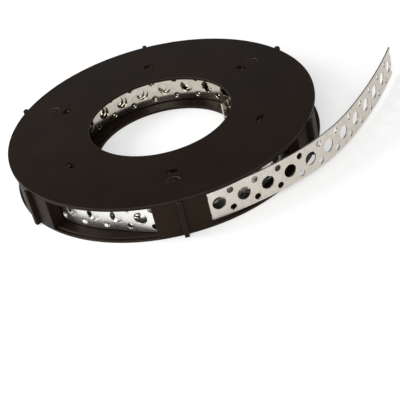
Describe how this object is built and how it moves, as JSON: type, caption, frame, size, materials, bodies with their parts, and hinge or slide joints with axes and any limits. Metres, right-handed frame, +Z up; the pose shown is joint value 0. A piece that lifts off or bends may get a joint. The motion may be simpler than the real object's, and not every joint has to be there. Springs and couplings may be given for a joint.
{
  "type": "perforated steel strap in a dispenser cassette",
  "caption": "Coil of flat perforated steel strap held in a round flat plastic cassette, its free tail leaving past a guide wall and curving away.",
  "frame": {"origin": "middle of the overall bounding box, on the level face that the cassette lies on", "axes": "+Z up along the coil's axis; +X along the greatest length, from the cassette towards the end of the free tail; +Y to the left of that"},
  "size_m": [0.2618, 0.21, 0.0253],
  "materials": {
    "black_plastic": "satin, brownish black, lightly scuffed",
    "galvanised_steel": "matt zinc coating with a fine grain"
  },
  "bodies": {
    "root": {"cassette_base": "black_plastic", "cassette_lid": "black_plastic", "strap": "galvanised_steel"}
  },
  "joints": []
}
